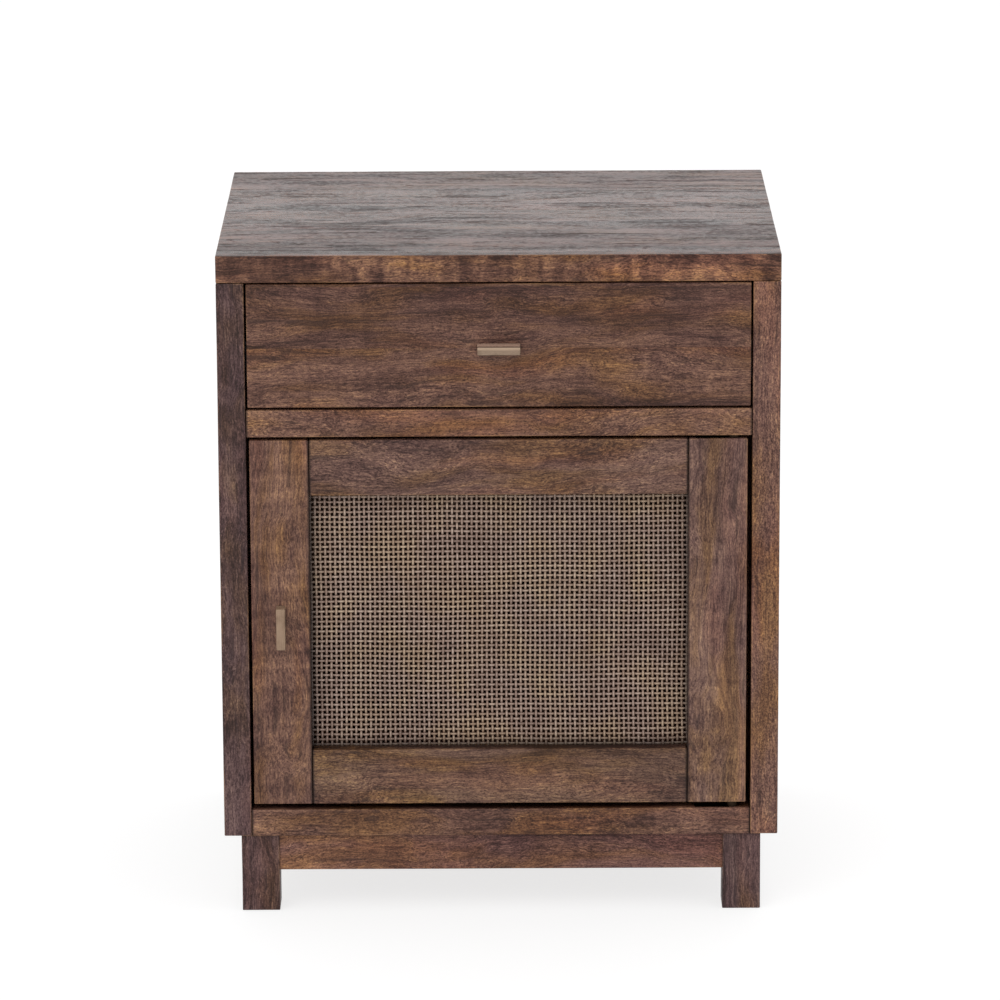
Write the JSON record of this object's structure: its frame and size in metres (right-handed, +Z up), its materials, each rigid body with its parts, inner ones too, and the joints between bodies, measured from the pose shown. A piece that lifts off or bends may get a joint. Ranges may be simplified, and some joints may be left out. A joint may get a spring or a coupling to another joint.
{
  "type": "nightstand",
  "caption": "Dark stained wood nightstand: an inset drawer above an inset door with a woven cane panel, brass bar pulls, square legs with aprons, and an open cupboard inside.",
  "frame": {"origin": "on the floor, under the middle of the overall footprint, which takes in the pulls", "axes": "+Z up, +Y from the front to the back, +X to the right as seen from the front"},
  "size_m": [0.5, 0.414, 0.607],
  "materials": {
    "stained_wood": "dark walnut stain under satin lacquer",
    "drawer_box_wood": "clear sealed solid wood",
    "plywood": "stained plywood",
    "dowel_wood": "plain turned hardwood",
    "cane": "stained woven cane",
    "antique_brass": "satin antique brass",
    "hinge_brass": "plain brass",
    "zinc_plated_steel": "zinc plated",
    "brown_plastic": "moulded matte"
  },
  "bodies": {
    "case": {"top_panel": "stained_wood", "left_side_panel": "stained_wood", "right_side_panel": "stained_wood", "bottom_panel": "stained_wood", "drawer_divider": "stained_wood", "front_left_leg": "stained_wood", "front_right_leg": "stained_wood", "back_left_leg": "stained_wood", "back_right_leg": "stained_wood", "front_apron": "stained_wood", "back_apron": "stained_wood", "left_apron": "stained_wood", "right_apron": "stained_wood", "back_panel": "plywood", "case_dowels": "dowel_wood", "upper_case_hinge_leaf": "hinge_brass", "lower_case_hinge_leaf": "hinge_brass", "hinge_washers": "hinge_brass", "case_hinge_screws": "hinge_brass", "upper_hinge_pin": "zinc_plated_steel", "lower_hinge_pin": "zinc_plated_steel", "back_panel_screws": "zinc_plated_steel", "base_screws": "zinc_plated_steel", "runner_rail_screws": "zinc_plated_steel", "left_runner_rail": "zinc_plated_steel", "right_runner_rail": "zinc_plated_steel", "catch_magnet": "zinc_plated_steel", "catch_screws": "zinc_plated_steel", "magnetic_catch": "brown_plastic"},
    "drawer": {"drawer_front": "stained_wood", "left_drawer_side": "drawer_box_wood", "right_drawer_side": "drawer_box_wood", "drawer_back": "drawer_box_wood", "drawer_bottom": "plywood", "left_runner_slide": "zinc_plated_steel", "right_runner_slide": "zinc_plated_steel", "runner_slide_screws": "zinc_plated_steel", "drawer_pull": "antique_brass", "drawer_pull_screws": "zinc_plated_steel"},
    "ball_cages": {"left_ball_cage": "zinc_plated_steel", "right_ball_cage": "zinc_plated_steel", "runner_balls": "zinc_plated_steel"},
    "door": {"left_stile": "stained_wood", "right_stile": "stained_wood", "top_rail": "stained_wood", "bottom_rail": "stained_wood", "cane_panel": "cane", "top_cane_bead": "stained_wood", "bottom_cane_bead": "stained_wood", "left_cane_bead": "stained_wood", "right_cane_bead": "stained_wood", "door_pull": "antique_brass", "door_pull_screws": "zinc_plated_steel", "strike_plate": "zinc_plated_steel", "strike_screw": "zinc_plated_steel", "upper_door_hinge_leaf": "hinge_brass", "lower_door_hinge_leaf": "hinge_brass", "door_hinge_screws": "hinge_brass"}
  },
  "joints": [
    {"name": "drawer_slide", "type": "slide", "parent": "case", "child": "drawer", "axis": [0, -1, 0], "range_m": [0, 0.2]},
    {"name": "ball_cage_slide", "type": "slide", "parent": "case", "child": "ball_cages", "axis": [0, -1, 0], "range_m": [0, 0.1]},
    {"name": "door_swing", "type": "hinge", "parent": "case", "child": "door", "pos_m": [0.209, -0.184, 0.27], "axis": [0, 0, 1], "range_deg": [0, 110]}
  ],
  "couplings": [
    {"joint": "ball_cage_slide", "follows": "drawer_slide", "ratio": 0.5}
  ]
}
